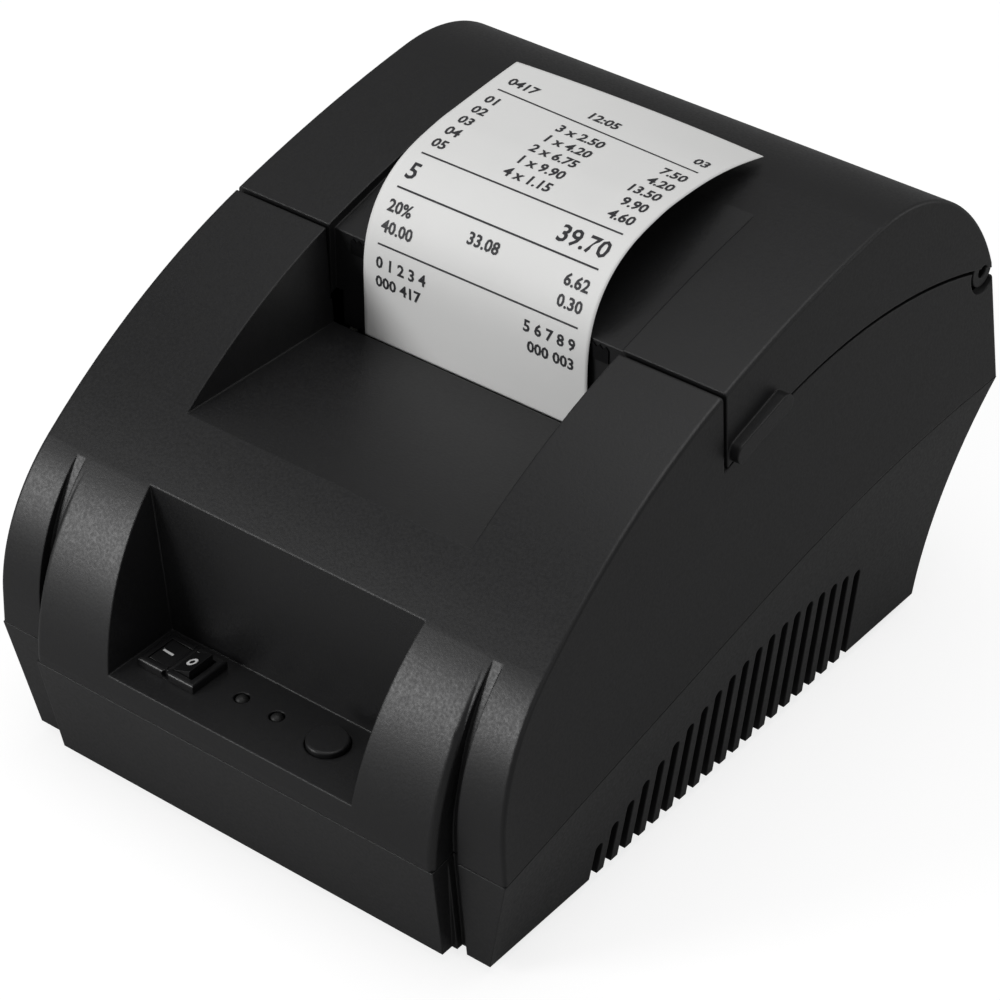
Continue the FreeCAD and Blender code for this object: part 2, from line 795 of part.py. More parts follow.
shaft_end = gear_x + gear_width
bush_far = frame_x + frame_thick + 0.5
shaft = rod_x(shaft_r, -bush_far, shaft_end, platen_y, platen_z)
save("platen_shaft", shaft)
rubber = rod_x(platen_r, -platen_rubber_half, platen_rubber_half, platen_y, platen_z)
save("platen_rubber", rubber.cut(rod_x(shaft_r, -reach, reach, platen_y, platen_z)))
bush = fuse([rod_x(bush_r, arm_x + arm_thick, bush_far, platen_y, platen_z),
             rod_x(bush_spigot_r, arm_x, arm_x + arm_thick, platen_y, platen_z)])
bush = bush.cut(rod_x(shaft_r + running_fit, 0, reach, platen_y, platen_z))
save("platen_bushes", group(both_sides(bush)))
platen_gear = gear(platen_teeth, gear_width, gear_x, platen_y, platen_z, pinion_angle)
save("platen_gear", platen_gear.cut(rod_x(shaft_r, 0, reach, platen_y, platen_z)))

pinion_phase = pinion_angle + math.pi + math.pi / pinion_teeth
pinion = gear(pinion_teeth, gear_width + gear_step, gear_x, wheel_y, wheel_z, pinion_phase)
wheel = gear(wheel_teeth, wheel_width, wheel_x, wheel_y, wheel_z, motor_angle)
reduction = fuse([pinion, wheel]).cut(rod_x(axle_r + running_fit, 0, reach, wheel_y, wheel_z))
save("reduction_gear", reduction)
wheel_far = wheel_x + wheel_width
axle = rod_x(axle_r, frame_x + free_gap, wheel_far + 1.0, wheel_y, wheel_z)
axle_cap = rod_x(axle_r + 1.2, wheel_far + free_gap, wheel_far + 1.0, wheel_y, wheel_z)
save("gear_axle", fuse([axle, axle_cap]))
motor_phase = motor_angle + math.pi + math.pi / motor_teeth
motor_gear = gear(motor_teeth, wheel_width, wheel_x, motor_y, motor_z, motor_phase)
motor_shaft = rod_x(motor_shaft_r, frame_x - motor_length + 2.0, wheel_far, motor_y, motor_z)
save("motor_pinion", fuse([motor_gear, motor_shaft]))
motor_can = rod_x(motor_r, frame_x - motor_length, frame_x, motor_y, motor_z)
motor_bore = rod_x(motor_shaft_r + running_fit, frame_x - motor_length + 1.5, reach, motor_y, motor_z)
save("stepper_motor", motor_can.cut(motor_bore))


# Mechanism frame with the head's spring plate and the paper guide

def slanted_block(away0, away1, along0, along1, half):
    corners = [from_platen(away0, along0), from_platen(away1, along0)]
    corners += [from_platen(away1, along1), from_platen(away0, along1)]
    return plate(corners, -half, half)


def tangent_below(c0, r0, c1, r1):
    """Points where the lower common tangent of two circles touches them."""
    dy = c1[0] - c0[0]
    dz = c1[1] - c0[1]
    span = math.hypot(dy, dz)
    turn = math.atan2(dz, dy) - math.pi / 2 - math.asin((r1 - r0) / span)
    out = (math.cos(turn), math.sin(turn))
    first = (c0[0] + r0 * out[0], c0[1] + r0 * out[1])
    second = (c1[0] + r1 * out[0], c1[1] + r1 * out[1])
    return first, second, out


platen_centre = (platen_y, platen_z)
roll_centre = (roll_y, roll_z)
web_start, web_end, web_out = tangent_below(platen_centre, web_inner, roll_centre, roll_r + free_gap)


def on_web(share, below):
    """Point a distance below the paper, at a share of its way from the platen to the roll."""
    y = web_start[0] + share * (web_end[0] - web_start[0])
    z = web_start[1] + share * (web_end[1] - web_start[1])
    return (y + below * web_out[0], z + below * web_out[1])


def along_web(share0, share1, below0, below1, half):
    corners = [on_web(share0, below0), on_web(share1, below0), on_web(share1, below1), on_web(share0, below1)]
    return plate(corners, -half, half)


def mechanism_frame():
    notch_low = platen_z - bush_r - free_gap
    notch_near = platen_y - bush_r - 1.6
    notch_far = platen_y + bush_r + 0.6
    front_y = flange_y[0] - 4.0
    rear_y_frame = flange_y[1] + 4.0
    form = [(front_y, floor_z), (front_y, 64.0), (-14.0, frame_top_z), (notch_near, frame_top_z)]
    form += [(notch_near, notch_low), (notch_far, notch_low), (notch_far, frame_top_z)]
    form += [(notch_far + 3.0, frame_top_z), (rear_y_frame, 56.0), (rear_y_frame, floor_z)]
    form += [(rear_y_frame - 8.0, floor_z), (rear_y_frame - 8.0, frame_arch_z)]
    form += [(front_y + 8.0, frame_arch_z), (front_y + 8.0, floor_z)]
    side = plate(form, frame_x, frame_x + frame_thick)
    side = side.cut(rod_x(motor_shaft_r + 1.0, 0, reach, motor_y, motor_z))
    side = side.cut(rod_x(axle_r + press_fit, 0, reach, wheel_y, wheel_z))
    side = side.cut(rod_x(pivot_pin_r + press_fit, 0, reach, pivot[0], pivot[1]))
    spring_plate = slanted_block(spring_seat, spring_seat + 1.5, head_low + 2.0, head_high, frame_x + 0.2)
    guide = along_web(0.25, 0.62, 1.0, 2.2, frame_x + 0.2).cut(along_web(0.38, 0.5, -3.0, 5.0, 4.0))
    flanges = []
    for y in flange_y:
        flange = box(frame_x, flange_screw_x + 4.0, y - 4.0, y + 4.0, floor_z, floor_z + flange_thick)
        flanges += both_sides(flange.cut(rod_z(screw_r + 0.2, flange_screw_x, y, 0, reach)))
    return fuse(both_sides(side) + [spring_plate, guide] + flanges)


save("mechanism_frame", mechanism_frame())

strip = slanted_block(head_face, sink_face, head_low + 6.0, head_high, strip_half)
save("print_head_strip", strip)
sink = slanted_block(sink_face, sink_back, head_low, head_high, sink_half)
pivot_eye = rod_x(pivot_pin_r + 1.6, -sink_half, sink_half, pivot[0], pivot[1])
sink = fuse([sink, pivot_eye]).cut(rod_x(pivot_pin_r + running_fit, -reach, reach, pivot[0], pivot[1]))
save("head_heat_sink", sink)
save("head_pivot_pin", rod_x(pivot_pin_r, -frame_x - frame_thick, frame_x + frame_thick, pivot[0], pivot[1]))


def head_spring(x):
    """Short compression spring seated on the spring plate, pushing towards the heat sink."""
    seat = from_platen(spring_seat, 0.0)
    foot = V(x, seat[0], seat[1])
    push = V(0, normal[0], normal[1])
    tube = Part.makeCylinder(spring_r, spring_length, foot, push)
    return tube.cut(Part.makeCylinder(spring_r - 2 * spring_wire_r, spring_length, foot, push))


save("head_springs", group([head_spring(-spring_x), head_spring(spring_x)]))
sensor = along_web(0.39, 0.49, 1.1, 3.4, 3.8)
sensor_board = along_web(0.34, 0.54, 2.2, 3.2, 7.0)
save("paper_sensor", fuse([sensor, sensor_board]))


# Paper: roll, core, web and receipt

half_paper = 0.5 * paper_width
roll = rod_x(roll_r, -half_paper, half_paper, roll_y, roll_z)
save("paper_roll", roll.cut(rod_x(core_r, -reach, reach, roll_y, roll_z)))
core = rod_x(core_r, -half_paper, half_paper, roll_y, roll_z)
save("roll_core", core.cut(rod_x(core_r - core_wall, -reach, reach, roll_y, roll_z)))


def sheet_along(start, heading, ends, lines_first):
    """Paper-thin solid that follows a chain of tangent arcs after an optional straight run."""
    inner = []
    outer = []
    points = [start] + ends
    headings = [heading]
    for index in range(len(ends)):
        dy = points[index + 1][0] - points[index][0]
        dz = points[index + 1][1] - points[index][1]
        headings.append(2 * math.degrees(math.atan2(dz, dy)) - headings[-1])
    shifted = []
    for (y, z), turn in zip(points, headings):
        away = math.radians(turn)
        shifted.append((y - paper_thick * math.sin(away), z + paper_thick * math.cos(away)))
    for index in range(len(ends)):
        if index in lines_first:
            inner.append(line(points[index], points[index + 1]))
            outer.append(line(shifted[index], shifted[index + 1]))
        else:
            inner.append(arc_to(points[index], headings[index], points[index + 1])[0])
            outer.append(arc_to(shifted[index], headings[index], shifted[index + 1])[0])
    edges = inner + [line(points[-1], shifted[-1])] + outer[::-1] + [line(shifted[0], points[0])]
    return prism(edges, -half_paper, half_paper)


wrap_end = (platen_y - web_inner * math.cos(lean), platen_z - web_inner * math.sin(lean))
rise = (slot_paper_y - wrap_end[0]) / -math.tan(lean)
straight_rise = 0.8 * rise
bend_start = (wrap_end[0] - straight_rise * math.tan(lean), wrap_end[1] + straight_rise)
web_heading = math.degrees(math.atan2(web_start[1] - web_end[1], web_start[0] - web_end[0]))
web_points = [web_start, wrap_end, bend_start, (slot_paper_y, bend_start[1] + 2 * (rise - straight_rise))]
save("paper_web", sheet_along(web_end, web_heading, web_points, (0, 2)))

receipt_points = [(slot_paper_y, 93.0), (2.0, 113.8), (24.0, 118.6), (44.0, 118.0)]
save("receipt", sheet_along((slot_paper_y, tear_z + 0.5), 90.0, receipt_points, (0,)))


# Paper bay: a trough under the roll with two cheeks on legs

bay_r = roll_r + 4.0
bay_wall = 2.0
bay_z = roll_z - roll_r - free_gap + bay_r
cheek_x = half_paper + side_play


def paper_bay():
    ring = rod_x(bay_r + bay_wall, -cheek_x - bay_wall, cheek_x + bay_wall, roll_y, bay_z)
    ring = ring.cut(rod_x(bay_r, -reach, reach, roll_y, bay_z))
    lip_y0 = web_end[0] + 3.0
    trough = ring.common(box(-reach, reach, lip_y0, reach, 0, bay_z))
    near_y = lip_y0 - 4.0
    far_y = base_rear_y - wall - 0.5
    form = [(near_y, floor_z), (near_y, 66.0), (24.0, cheek_top_z), (far_y, cheek_top_z), (far_y, floor_z)]
    form += [(far_y - 8.0, floor_z), (far_y - 8.0, frame_arch_z), (30.0, frame_arch_z), (30.0, floor_z)]
    cheek = plate(form, cheek_x, cheek_x + bay_wall)
    return fuse([trough] + both_sides(cheek))


save("paper_bay", paper_bay())


# Boards, sockets and cables

board = box(-board_half, board_half, board_front_y, board_rear_y, board_z, board_top)
for y in board_post_y:
    for side in (-1, 1):
        board = board.cut(rod_z(screw_r, side * board_post_x, y, 0, reach))
save("main_board", board)
board_screws = []
for y in board_post_y:
    for side in (-1, 1):
        board_screws.append(screw_down(side * board_post_x, y, board_top, board_screw_length))
save("board_screws", group(board_screws))
chips = [box(x0, x1, y0, y1, board_top, board_top + height) for x0, x1, y0, y1, height in chip_boxes]
chips += [rod_z(r, x, y, board_top, board_top + height) for r, x, y, height in capacitors]
save("board_components", group(chips))


def socket(name, x, width, depth, height):
    """Board socket with its mouth to the rear: a round hole with a pin, or a square one with a tongue."""
    half = 0.5 * width
    front_y = socket_rear_y - depth
    shell = box(x - half, x + half, front_y, socket_rear_y, board_top, board_top + height)
    mid_z = board_top + 0.5 * height
    if name == "power_inlet":
        hole = Part.makeCylinder(3.2, depth - 3.0, V(x, socket_rear_y, mid_z), V(0, -1, 0))
        pin = Part.makeCylinder(1.0, depth - 3.0, V(x, socket_rear_y - 1.0, mid_z), V(0, -1, 0))
        return fuse([shell.cut(hole), pin])
    hole_half = half - socket_rim
    hole = box(x - hole_half, x + hole_half, front_y + 3.0, socket_rear_y + 1, board_top + socket_rim,
               board_top + height - socket_rim)
    if name == "data_socket":
        blade = box(x - 2.8, x + 2.8, front_y + 2.0, socket_rear_y - 1.5, mid_z - 1.5, mid_z + 1.5)
        return fuse([shell.cut(hole), blade])
    return shell.cut(hole)


for entry in sockets:
    save(entry[0], socket(*entry))

screw_depth = flange_thick + wall - 0.5
flange_top = floor_z + flange_thick
frame_screws = []
for y in flange_y:
    for side in (-1, 1):
        frame_screws.append(screw_down(side * flange_screw_x, y, flange_top, screw_depth))
save("frame_screws", group(frame_screws))


# Controls under the panel

def rocker_housing():
    rim = middle_box(rocker_x, control_y, rocker_length, rocker_width, panel_z, panel_z + rocker_rim)
    top_edges = [edge for edge in rim.Edges if abs(edge.CenterOfMass.z - panel_z - rocker_rim) < 0.01]
    rim = rim.makeFillet(0.6, top_edges)
    can_low = panel_z - rocker_body_depth
    can = middle_box(rocker_x, control_y, rocker_body_length, rocker_body_width, can_low, panel_z)
    pocket = middle_box(rocker_x, control_y, paddle_length + 1.0, paddle_width + 2 * rocker_play,
                        paddle_z - pocket_depth, reach)
    blades = [middle_box(rocker_x + x, control_y, 0.8, 4.4, can_low - blade_length, can_low) for x in blade_x]
    start = V(rocker_x, control_y - 0.5 * rocker_width, paddle_z)
    trunnion = Part.makeCylinder(trunnion_r + running_fit, rocker_width, start, V(0, 1, 0))
    return fuse([rim, can] + blades).cut(pocket).cut(trunnion)


save("rocker_housing", rocker_housing())


def rocker_paddle():
    half = 0.5 * paddle_length
    foot = half - paddle_taper
    low = control_y - 0.5 * paddle_width
    loop = [V(-half, low, paddle_end_z), V(0, low, paddle_fold_z), V(half, low, paddle_end_z)]
    loop += [V(foot, low, -paddle_depth), V(-foot, low, -paddle_depth), V(-half, low, paddle_end_z)]
    paddle = Part.Face(Part.makePolygon(loop)).extrude(V(0, paddle_width, 0))
    trunnion = Part.makeCylinder(trunnion_r, paddle_width + 2.0, V(0, low - 1.0, 0), V(0, 1, 0))
    paddle = fuse([paddle, trunnion])
    paddle.rotate(V(0, control_y, 0), V(0, 1, 0), -paddle_tilt)
    paddle.translate(V(rocker_x, 0, paddle_z))
    return paddle


save("rocker_paddle", rocker_paddle())

button_low = control_top + button_clear
button = rod_z(button_r, button_x, control_y, button_low, panel_z + button_proud)
button_rim = [edge for edge in button.Edges if abs(edge.CenterOfMass.z - panel_z - button_proud) < 0.01]
button = button.makeFillet(0.5, button_rim)
button_flange = rod_z(button_r + 1.0, button_x, control_y, button_low, panel_z - wall - free_gap)
save("feed_button", fuse([button, button_flange]))
tact_top = control_top + tact_height
tact_body = middle_box(button_x, control_y, tact_width, tact_width, control_top, tact_top)
tact_stem = rod_z(tact_stem_r, button_x, control_y, tact_top, button_low - button_travel - 0.1)
save("tact_switch", fuse([tact_body, tact_stem]))
lenses = []
for x in (lens_x_first, lens_x_second):
    lens = rod_z(lens_r - lens_play, x, control_y, control_top, panel_z - lens_sunk)
    dome = Part.makeSphere(lens_r - lens_play, V(x, control_y, panel_z - lens_sunk))
    lenses.append(fuse([lens, dome]))
save("indicator_lenses", group(lenses))
control_board = box(control_board_x, button_x + 7.0, control_y - 4.6, control_post_y + 2.6,
                    control_board_z, control_top)
for x in control_post_x:
    control_board = control_board.cut(rod_z(1.0, x, control_post_y, 0, reach))
save("control_board", control_board)
control_screws = []
for x in control_post_x:
    head = rod_z(1.8, x, control_post_y, control_board_z - 1.4, control_board_z)
    shank = rod_z(control_screw_r, x, control_post_y, control_board_z - 0.1, control_board_z + 5.0)
    control_screws.append(fuse([head, shank]))
save("control_screws", group(control_screws))


# Ribbons and the motor lead

def ribbon(points, shift, x0, x1):
    """Flat cable through straight runs in side view, as thick as the shift between its two faces."""
    back = [(y + shift[0], z + shift[1]) for y, z in reversed(points)]
    return plate(points + back, x0, x1)


plug_top = board_top + plug_height
head_run = [(pivot[0] - 3.6, pivot[1] - 4.0), (-19.0, 40.0), (-19.2, plug_top)]
save("head_ribbon", ribbon(head_run, (0.5, 0.0), -8.0, 8.0))
drop_y = control_y + 2.0
control_run = [(drop_y, control_board_z - 0.4), (drop_y, ribbon_z), (-27.2, ribbon_z), (-27.2, plug_top)]
save("control_ribbon", ribbon(control_run, (0.3, 0.3), -8.0, 2.0))
lead_x = frame_x - motor_length + 4.0
save("motor_lead", rod_z(lead_r, lead_x, motor_y, board_top + lead_plug_height, motor_z - motor_r))
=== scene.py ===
import math

import bpy
import numpy as np
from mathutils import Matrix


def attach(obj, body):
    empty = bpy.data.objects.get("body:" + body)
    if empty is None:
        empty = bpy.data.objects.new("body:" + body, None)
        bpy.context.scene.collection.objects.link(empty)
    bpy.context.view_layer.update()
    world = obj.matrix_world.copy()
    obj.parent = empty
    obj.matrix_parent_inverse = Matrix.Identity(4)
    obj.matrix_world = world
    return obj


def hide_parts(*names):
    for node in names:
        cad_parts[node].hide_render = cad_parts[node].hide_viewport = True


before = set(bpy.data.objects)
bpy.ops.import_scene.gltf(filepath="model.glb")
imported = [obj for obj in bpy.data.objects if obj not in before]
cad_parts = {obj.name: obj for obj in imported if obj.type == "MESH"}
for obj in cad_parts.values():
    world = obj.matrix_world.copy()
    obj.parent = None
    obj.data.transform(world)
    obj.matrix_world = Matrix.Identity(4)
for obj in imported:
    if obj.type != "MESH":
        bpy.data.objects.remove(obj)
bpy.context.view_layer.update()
print("stage: frame loaded")

# Finishes of the moulded, metal, paper and board pieces. Colours are linear, sizes in metres.
finishes = {
    "casing_black": {"kind": "plastic", "colour": (0.0085, 0.0085, 0.0090), "rough": 0.42, "grain": 0.00062,
                     "bump": 0.40, "edge": 0.00055},
    "base_black": {"kind": "plastic", "colour": (0.0105, 0.0105, 0.0110), "rough": 0.44, "grain": 0.00070,
                   "bump": 0.34, "edge": 0.00045},
    "switch_black": {"kind": "plastic", "colour": (0.0075, 0.0075, 0.0080), "rough": 0.36, "grain": 0.00030,
                     "bump": 0.08, "edge": 0.00025},
    "inner_black": {"kind": "plastic", "colour": (0.014, 0.014, 0.015), "rough": 0.52, "grain": 0.00045,
                    "bump": 0.15, "edge": 0.00025},
    "chip_black": {"kind": "plastic", "colour": (0.012, 0.012, 0.013), "rough": 0.48, "grain": 0.00025,
                   "bump": 0.10, "edge": 0.00015},
    "rubber_black": {"kind": "plastic", "colour": (0.011, 0.011, 0.012), "rough": 0.78, "grain": 0.00030,
                     "bump": 0.25, "edge": 0.00030},
    "gear_white": {"kind": "plastic", "colour": (0.66, 0.65, 0.60), "rough": 0.42, "grain": 0.00030,
                   "bump": 0.06, "edge": 0.00010},
    "cable_grey": {"kind": "plastic", "colour": (0.23, 0.23, 0.24), "rough": 0.50, "grain": 0.00060,
                   "bump": 0.06, "edge": 0.00010},
    "lens": {"kind": "plastic", "colour": (0.007, 0.007, 0.007), "rough": 0.55, "grain": 0.00050,
             "bump": 0.02, "edge": 0.00010},
    "steel": {"kind": "metal", "colour": (0.58, 0.58, 0.57), "rough": 0.30, "grain": 0.00020},
    "blackened_steel": {"kind": "metal", "colour": (0.022, 0.022, 0.023), "rough": 0.50, "grain": 0.00020},
    "aluminium": {"kind": "metal", "colour": (0.72, 0.72, 0.73), "rough": 0.38, "grain": 0.00030},
    "receipt_paper": {"kind": "paper", "colour": (0.86, 0.86, 0.85), "rough": 0.55, "grain": 0.00035},
    "card": {"kind": "paper", "colour": (0.36, 0.25, 0.16), "rough": 0.80, "grain": 0.00060},
    "board_green": {"kind": "board", "colour": (0.020, 0.110, 0.045), "rough": 0.34, "grain": 0.00250},
}


colourA, colourB, colourOut = 6, 7, 2  # colour sockets of the Mix node
noiseLow, noiseHigh = 0.3, 0.7


def nodeTree(name):
    material = bpy.data.materials.new(name)
    material.use_nodes = True
    tree = material.node_tree
    return material, tree, tree.nodes["Principled BSDF"]


def objectNoise(tree, size, detail):
    coords = tree.nodes.new("ShaderNodeTexCoord")
    noise = tree.nodes.new("ShaderNodeTexNoise")
    noise.inputs["Scale"].default_value = 1.0 / size
    noise.inputs["Detail"].default_value = detail
    tree.links.new(coords.outputs["Object"], noise.inputs["Vector"])
    return noise


def spread(tree, source, low, high):
    # Most of the noise lies between noiseLow and noiseHigh, which are stretched to low and high.
    ramp = tree.nodes.new("ShaderNodeMapRange")
    ramp.inputs["To Min"].default_value = low
    ramp.inputs["To Max"].default_value = high
    ramp.inputs["From Min"].default_value = noiseLow
    ramp.inputs["From Max"].default_value = noiseHigh
    tree.links.new(source, ramp.inputs["Value"])
    return ramp.outputs["Result"]


def shades(tree, source, colour, amount):
    # The colour runs from a share darker to the same share lighter as the source goes from 0 to 1.
    mix = tree.nodes.new("ShaderNodeMix")
    mix.data_type = "RGBA"
    mix.inputs[colourA].default_value = tuple(c * (1 - amount) for c in colour) + (1.0,)
    mix.inputs[colourB].default_value = tuple(min(1.0, c * (1 + amount)) for c in colour) + (1.0,)
    tree.links.new(source, mix.inputs[0])
    return mix.outputs[colourOut]


def roughen(tree, shader, source, rough, less, more):
    tree.links.new(spread(tree, source, rough - less, rough + more), shader.inputs["Roughness"])


def grainBump(tree, shader, source, strength, depth):
    bump = tree.nodes.new("ShaderNodeBump")
    bump.inputs["Strength"].default_value = strength
    bump.inputs["Distance"].default_value = depth
    tree.links.new(source, bump.inputs["Height"])
    tree.links.new(bump.outputs["Normal"], shader.inputs["Normal"])
    return bump


# What all moulded pieces share
plasticLook = {"grainDetail": 3.0, "cloud": 0.030, "cloudDetail": 2.0, "shade": 0.10, "uneven": 0.06,
               "specular": 0.45, "depth": 0.00006, "edgeSamples": 6}


def plasticMaterial(name, look):
    material, tree, shader = nodeTree(name)
    grain = objectNoise(tree, look["grain"], plasticLook["grainDetail"]).outputs["Fac"]
    cloud = objectNoise(tree, plasticLook["cloud"], plasticLook["cloudDetail"]).outputs["Fac"]
    tree.links.new(shades(tree, cloud, look["colour"], plasticLook["shade"]), shader.inputs["Base Color"])
    roughen(tree, shader, grain, look["rough"], plasticLook["uneven"], plasticLook["uneven"])
    shader.inputs["Specular IOR Level"].default_value = plasticLook["specular"]
    bump = grainBump(tree, shader, grain, look["bump"], plasticLook["depth"])
    edge = tree.nodes.new("ShaderNodeBevel")  # rounds the moulded edges in the shading
    edge.samples = plasticLook["edgeSamples"]
    edge.inputs["Radius"].default_value = look["edge"]
    tree.links.new(edge.outputs["Normal"], bump.inputs["Normal"])
    return material


metalLook = {"grainDetail": 4.0, "shade": 0.06, "uneven": 0.08}


def metalMaterial(name, look):
    material, tree, shader = nodeTree(name)
    grain = objectNoise(tree, look["grain"], metalLook["grainDetail"]).outputs["Fac"]
    shader.inputs["Metallic"].default_value = 1.0
    tree.links.new(shades(tree, grain, look["colour"], metalLook["shade"]), shader.inputs["Base Color"])
    roughen(tree, shader, grain, look["rough"], metalLook["uneven"], metalLook["uneven"])
    return material


paperLook = {"fibreDetail": 5.0, "cloud": 0.018, "cloudDetail": 2.0, "shade": 0.025, "smoother": 0.05,
             "rougher": 0.08, "specular": 0.30, "bump": 0.12, "depth": 0.00003}


def paperMaterial(name, look):
    material, tree, shader = nodeTree(name)
    fibre = objectNoise(tree, look["grain"], paperLook["fibreDetail"]).outputs["Fac"]
    cloud = objectNoise(tree, paperLook["cloud"], paperLook["cloudDetail"]).outputs["Fac"]
    tree.links.new(shades(tree, cloud, look["colour"], paperLook["shade"]), shader.inputs["Base Color"])
    roughen(tree, shader, fibre, look["rough"], paperLook["smoother"], paperLook["rougher"])
    shader.inputs["Specular IOR Level"].default_value = paperLook["specular"]
    grainBump(tree, shader, fibre, paperLook["bump"], paperLook["depth"])
    return material


boardLook = {"copperDetail": 1.0, "shade": 0.35, "uneven": 0.05}


def boardMaterial(name, look):
    material, tree, shader = nodeTree(name)
    copper = objectNoise(tree, look["grain"], boardLook["copperDetail"]).outputs["Fac"]
    tree.links.new(shades(tree, copper, look["colour"], boardLook["shade"]), shader.inputs["Base Color"])
    roughen(tree, shader, copper, look["rough"], boardLook["uneven"], boardLook["uneven"])
    return material


def inkMaterial(name, look):
    material, tree, shader = nodeTree(name)
    fade = objectNoise(tree, look["fade"], look["fadeDetail"]).outputs["Fac"]
    tree.links.new(shades(tree, fade, look["colour"], look["shade"]), shader.inputs["Base Color"])
    shader.inputs["Roughness"].default_value = look["rough"]
    return material


makers = {"plastic": plasticMaterial, "metal": metalMaterial, "paper": paperMaterial, "board": boardMaterial}
materials = {slotName: makers[look["kind"]](slotName + "Look", look) for slotName, look in finishes.items()}

nodeSlots = {
    "casing_black": ["upper_casing", "lid_shell", "feed_button"],
    "base_black": ["base_tray"],
    "switch_black": ["rocker_housing", "rocker_paddle"],
    "inner_black": ["lid_inner_frame", "paper_bay", "mechanism_frame"],
    "chip_black": ["board_components", "tact_switch", "print_head_strip", "paper_sensor", "power_inlet",
                   "drawer_socket"],
    "rubber_black": ["rubber_feet", "platen_rubber"],
    "gear_white": ["platen_gear", "reduction_gear", "platen_bushes"],
    "cable_grey": ["head_ribbon", "control_ribbon", "motor_lead"],
    "lens": ["indicator_lenses"],
    "blackened_steel": ["tear_bar"],
    "steel": ["hinge_pins", "case_screws", "lid_screws", "board_screws", "frame_screws", "control_screws",
              "platen_shaft", "gear_axle", "motor_pinion", "stepper_motor", "head_pivot_pin", "head_springs",
              "data_socket"],
    "aluminium": ["head_heat_sink"],
    "receipt_paper": ["paper_roll", "paper_web", "receipt"],
    "card": ["roll_core"],
    "board_green": ["main_board", "control_board"],
}
for slotName, names in nodeSlots.items():
    for name in names:
        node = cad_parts[name]
        node.data.materials.clear()
        node.data.materials.append(materials[slotName])
print("stage: CAD finishes set")


def meshObject(name, points, faces, material, smooth=True):
    mesh = bpy.data.meshes.new(name)
    mesh.from_pydata(points, [], faces)
    mesh.materials.append(material)
    mesh.polygons.foreach_set("use_smooth", np.full(len(mesh.polygons), smooth))
    mesh.update()
    piece = bpy.data.objects.new(name, mesh)
    bpy.context.scene.collection.objects.link(piece)
    return piece


def gridFaces(rows, columns):
    # Quads of a grid whose points run row by row
    corner = (np.arange(rows - 1)[:, None] * columns + np.arange(columns - 1)[None, :]).ravel()
    return np.stack([corner, corner + 1, corner + columns + 1, corner + columns], axis=1)


# Receipt: a strip that leaves the slot upright and bends back over the lid
receiptLook = {"width": 0.0575, "length": 0.0848, "skew": 0.0042, "slotY": -0.0109, "slotZ": 0.0763,
               "straight": 0.0124, "bend": 0.0400, "bendTurn": 79.8, "crest": 0.0060, "crestTurn": 7.0,
               "tipTurn": 9.4, "twist": 8.06, "twistEarly": 0.0060, "thickness": 0.00010, "rows": 193,
               "columns": 65}


def receiptSurface(look):
    # The turn from upright grows with the distance s along the strip in three smooth stages, and by a
    # twist across the width t near the tip. Position is the running sum of (sin turn, cos turn) over s.
    # The end is cut a little askew, so that s runs to length + skew times t.
    half = 0.5 * look["width"]
    t = np.linspace(-1.0, 1.0, look["columns"])[None, :]
    s = np.linspace(0.0, 1.0, look["rows"])[:, None] * (look["length"] + look["skew"] * t)
    full = look["length"] + look["skew"]

    def ease(start, span):
        share = np.clip((s - start) / span, 0.0, 1.0)
        return share * share * (3.0 - 2.0 * share)

    crestStart = look["straight"] + look["bend"]
    tipStart = crestStart + look["crest"]
    turn = look["bendTurn"] * ease(look["straight"], look["bend"])
    turn = turn + look["crestTurn"] * ease(crestStart, look["crest"])
    turn = turn + look["tipTurn"] * ease(tipStart, full - tipStart)
    twistStart = crestStart - look["twistEarly"]
    angle = np.radians(turn + look["twist"] * t * ease(twistStart, full - twistStart))
    step = np.diff(s, axis=0, prepend=0.0)
    y = look["slotY"] + np.cumsum(np.sin(angle) * step, axis=0)
    z = look["slotZ"] + np.cumsum(np.cos(angle) * step, axis=0)
    x = np.broadcast_to(half * t, y.shape)
    points = np.stack([x, y, z], axis=2)
    normals = np.stack([np.zeros_like(angle), -np.cos(angle), np.sin(angle)], axis=2)
    return points, normals


def onReceipt(look, points, normals, across, along, lift):
    # Bilinear reading of the receipt's grid at a distance along it and across it, lifted along its normal.
    ends = look["length"] + 2.0 * look["skew"] * across / look["width"]
    row = np.clip(along / ends, 0.0, 1.0) * (look["rows"] - 1)
    column = np.clip(across / look["width"] + 0.5, 0.0, 1.0) * (look["columns"] - 1)
    r0 = np.clip(np.floor(row).astype(int), 0, look["rows"] - 2)
    c0 = np.clip(np.floor(column).astype(int), 0, look["columns"] - 2)
    fr = (row - r0)[:, None]
    fc = (column - c0)[:, None]

    def read(grid):
        low = grid[r0, c0] * (1 - fc) + grid[r0, c0 + 1] * fc
        high = grid[r0 + 1, c0] * (1 - fc) + grid[r0 + 1, c0 + 1] * fc
        return low * (1 - fr) + high * fr

    return read(points) + lift * read(normals)


def buildReceipt(look):
    points, normals = receiptSurface(look)
    piece = meshObject("receiptSheet", points.reshape(-1, 3), gridFaces(look["rows"], look["columns"]),
                       materials["receipt_paper"])
    solid = piece.modifiers.new("paperThickness", "SOLIDIFY")
    solid.thickness = look["thickness"]
    solid.offset = 0.0
    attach(piece, "lid")
    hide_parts("receipt")
    return piece, points, normals


receiptSheet, receiptPoints, receiptNormals = buildReceipt(receiptLook)
print("stage: receipt")

